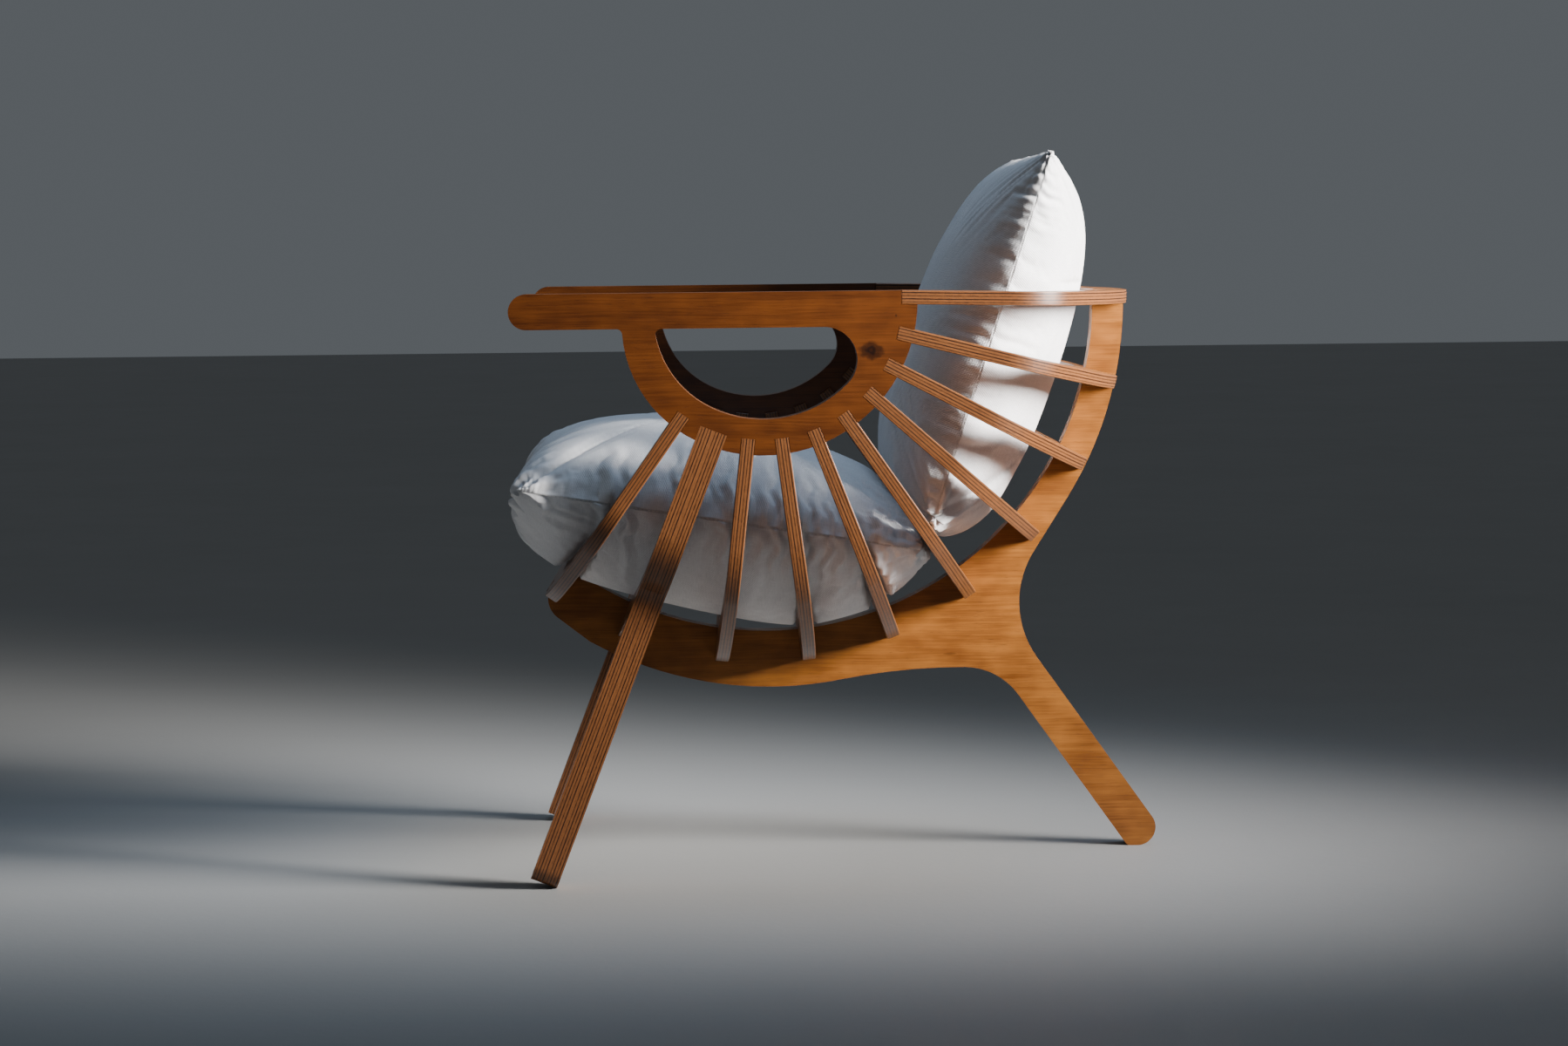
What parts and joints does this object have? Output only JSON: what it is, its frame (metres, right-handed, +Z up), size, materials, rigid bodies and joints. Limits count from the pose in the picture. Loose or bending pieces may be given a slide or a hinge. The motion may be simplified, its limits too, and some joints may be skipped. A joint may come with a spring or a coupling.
{
  "type": "lounge chair",
  "caption": "Plywood lounge chair: U-shaped ribs fan from two D-shaped arms to a central spine that is also the rear leg, with loose seat and back pillows.",
  "frame": {"origin": "on the floor, under the middle of the chair's bounding box", "axes": "+Z up, X across the chair with the sitter's left hand at +X, the sitter looks along -Y"},
  "size_m": [0.66, 0.7349, 0.7907],
  "materials": {
    "arm_plywood": "oiled, reddish face grain",
    "spine_plywood": "oiled, honey-gold face grain",
    "rib_plywood": "oiled, bare layered edges",
    "cushion_cloth": "off-white linen weave",
    "cushion_filling": "soft white wadding"
  },
  "bodies": {
    "frame": {"left_arm_outer": "arm_plywood", "left_arm_inner": "arm_plywood", "right_arm_outer": "arm_plywood", "right_arm_inner": "arm_plywood", "spine_left": "spine_plywood", "spine_right": "spine_plywood", "top_rail": "rib_plywood", "rib_1": "rib_plywood", "rib_2": "rib_plywood", "rib_3": "rib_plywood", "rib_4": "rib_plywood", "rib_5": "rib_plywood", "rib_6": "rib_plywood", "rib_7": "rib_plywood", "leg_rib_rear": "rib_plywood", "leg_rib_front": "rib_plywood", "front_rib": "rib_plywood"},
    "seat_cushion": {"seat_panel_top": "cushion_cloth", "seat_panel_under": "cushion_cloth", "seat_filling": "cushion_filling"},
    "back_cushion": {"back_panel_front": "cushion_cloth", "back_panel_rear": "cushion_cloth", "back_filling": "cushion_filling"}
  },
  "joints": [
    {"name": "seat_lift_off", "type": "slide", "parent": "frame", "child": "seat_cushion", "axis": [0, -0.7071, 0.7071], "range_m": [0, 0.2]},
    {"name": "back_lift_off", "type": "slide", "parent": "frame", "child": "back_cushion", "axis": [0, 0, 1], "range_m": [0, 0.22]}
  ]
}
